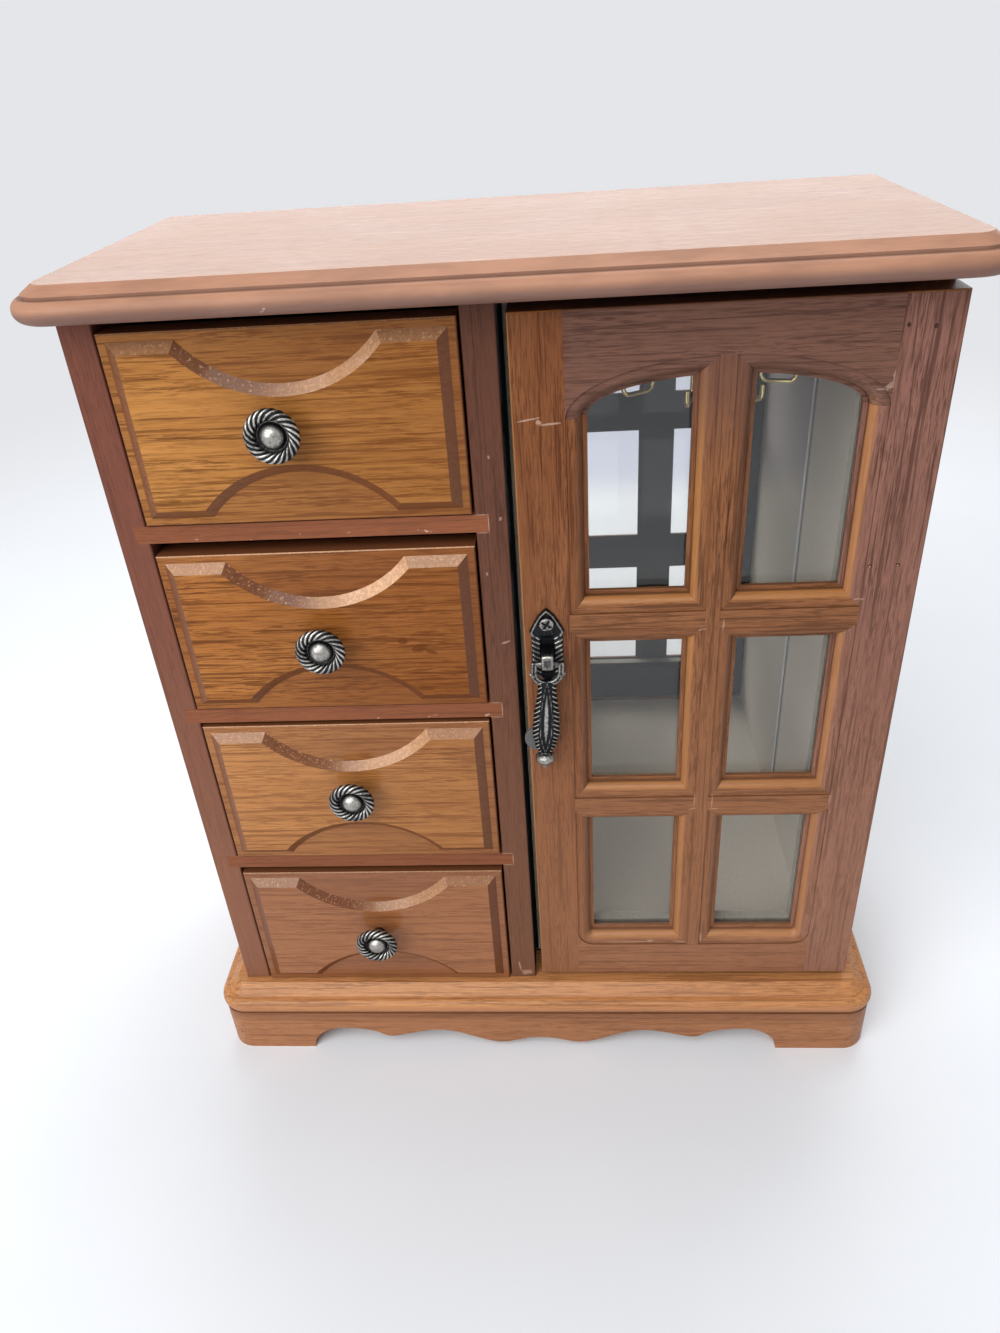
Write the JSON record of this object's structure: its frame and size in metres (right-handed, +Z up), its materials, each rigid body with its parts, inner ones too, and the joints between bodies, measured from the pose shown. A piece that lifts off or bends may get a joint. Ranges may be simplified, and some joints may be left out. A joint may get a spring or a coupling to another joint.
{
  "type": "jewelry armoire",
  "caption": "Table-top wooden jewelry armoire with a bank of small drawers, a glazed arched door with a drop pull, and a mirrored cupboard with a turning necklace carousel.",
  "frame": {"origin": "on the surface it stands on, below the middle of its overall width and depth", "axes": "+X to the right seen from the front, -Y out of the front, +Z up"},
  "size_m": [0.263, 0.1215, 0.3045],
  "materials": {
    "wood_top": "satin lacquered reddish walnut",
    "wood_case": "satin dark reddish walnut",
    "wood_base": "satin lacquered orange-brown walnut",
    "wood_door": "satin lacquered mid walnut",
    "wood_drawer": "satin lacquered golden walnut with fine streaks",
    "wood_inner": "matt stained brown",
    "black_paint": "matt black paint on board",
    "felt": "grey felt",
    "mirror": "silvered glass",
    "glass": "clear sheet glass",
    "brass": "bright brass",
    "pewter": "antique pewter casting, dark in the recesses",
    "steel": "plain steel",
    "black_plastic": "black moulded plastic",
    "bumper": "matt grey pad"
  },
  "bodies": {
    "case": {"top_board": "wood_top", "sub_top": "black_paint", "left_side": "wood_case", "right_side": "wood_case", "divider": "wood_case", "back_panel": "wood_inner", "base_board": "wood_base", "front_apron": "wood_base", "side_aprons": "wood_base", "rear_apron": "wood_base", "drawer_rails": "wood_case", "drawer_runners": "wood_inner", "mirror": "mirror", "cupboard_lining": "felt", "hinge_case_leaves": "brass", "hinge_pins": "brass", "hinge_case_screws": "brass", "door_magnet": "black_plastic", "carousel_pivot": "steel"},
    "door": {"door_lock_stile": "wood_door", "door_hinge_stile": "wood_door", "door_top_rail": "wood_door", "door_bottom_rail": "wood_door", "door_mullion": "wood_door", "door_muntins": "wood_door", "door_glass": "glass", "glazing_strips": "wood_door", "hinge_door_leaves": "brass", "hinge_door_screws": "brass", "door_strike_plate": "steel", "pull_backplate": "pewter", "pull_screw": "pewter", "pull_bumper": "bumper"},
    "door_pull": {"pull_drop": "pewter"},
    "carousel": {"carousel_disc": "black_plastic", "carousel_hooks": "brass"},
    "drawer_1": {"drawer_1_front": "wood_drawer", "drawer_1_walls": "wood_inner", "drawer_1_bottom": "wood_inner", "drawer_1_liner": "felt", "drawer_1_knob": "pewter", "drawer_1_knob_screw": "steel"},
    "drawer_2": {"drawer_2_front": "wood_drawer", "drawer_2_walls": "wood_inner", "drawer_2_bottom": "wood_inner", "drawer_2_liner": "felt", "drawer_2_knob": "pewter", "drawer_2_knob_screw": "steel"},
    "drawer_3": {"drawer_3_front": "wood_drawer", "drawer_3_walls": "wood_inner", "drawer_3_bottom": "wood_inner", "drawer_3_liner": "felt", "drawer_3_knob": "pewter", "drawer_3_knob_screw": "steel"},
    "drawer_4": {"drawer_4_front": "wood_drawer", "drawer_4_walls": "wood_inner", "drawer_4_bottom": "wood_inner", "drawer_4_liner": "felt", "drawer_4_knob": "pewter", "drawer_4_knob_screw": "steel"}
  },
  "joints": [
    {"name": "drawer_1_slide", "type": "slide", "parent": "case", "child": "drawer_1", "axis": [0, -1, 0], "range_m": [0, 0.08]},
    {"name": "drawer_2_slide", "type": "slide", "parent": "case", "child": "drawer_2", "axis": [0, -1, 0], "range_m": [0, 0.08]},
    {"name": "drawer_3_slide", "type": "slide", "parent": "case", "child": "drawer_3", "axis": [0, -1, 0], "range_m": [0, 0.08]},
    {"name": "drawer_4_slide", "type": "slide", "parent": "case", "child": "drawer_4", "axis": [0, -1, 0], "range_m": [0, 0.08]},
    {"name": "door_hinge", "type": "hinge", "parent": "case", "child": "door", "pos_m": [0.12195, -0.035, 0.162], "axis": [0, 0, 1], "range_deg": [0, 120]},
    {"name": "pull_swing", "type": "hinge", "parent": "door", "child": "door_pull", "pos_m": [0.0089, -0.05265, 0.1846], "axis": [-1, 0, 0], "range_deg": [0, 100]},
    {"name": "carousel_turn", "type": "hinge", "parent": "case", "child": "carousel", "pos_m": [0.06075, 0.01045, 0.27], "axis": [0, 0, 1], "continuous": true}
  ]
}
